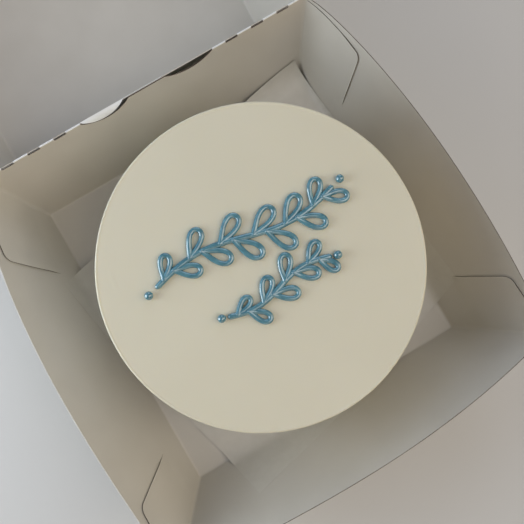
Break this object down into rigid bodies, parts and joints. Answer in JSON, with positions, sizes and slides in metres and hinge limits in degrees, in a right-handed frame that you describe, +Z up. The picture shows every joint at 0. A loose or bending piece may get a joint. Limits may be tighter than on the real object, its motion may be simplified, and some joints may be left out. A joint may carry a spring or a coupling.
{
  "type": "bento cake",
  "caption": "Small round frosted cake with a piped leaf trim, standing on a paper liner in an open card clamshell box whose hinged lid half lies flat behind it.",
  "frame": {"origin": "middle of the underside of the box half that holds the cake, where it stands", "axes": "+Z up, +Y from the box's front towards its hinge, +X to the right seen from the front"},
  "size_m": [0.1872, 0.3648, 0.0649],
  "materials": {
    "card": "white coated card, satin",
    "paper": "thin greaseproof paper, slightly see-through",
    "frosting": "smooth cream frosting, soft sheen, with a glossy teal piped trim"
  },
  "bodies": {
    "box": {"tray": "card", "liner": "paper", "cake": "frosting"},
    "lid": {"lid": "card"}
  },
  "joints": [
    {"name": "lid_hinge", "type": "hinge", "parent": "box", "child": "lid", "pos_m": [0, 0.0857, 0.0454], "axis": [1, 0, 0], "range_deg": [0, 180]}
  ]
}
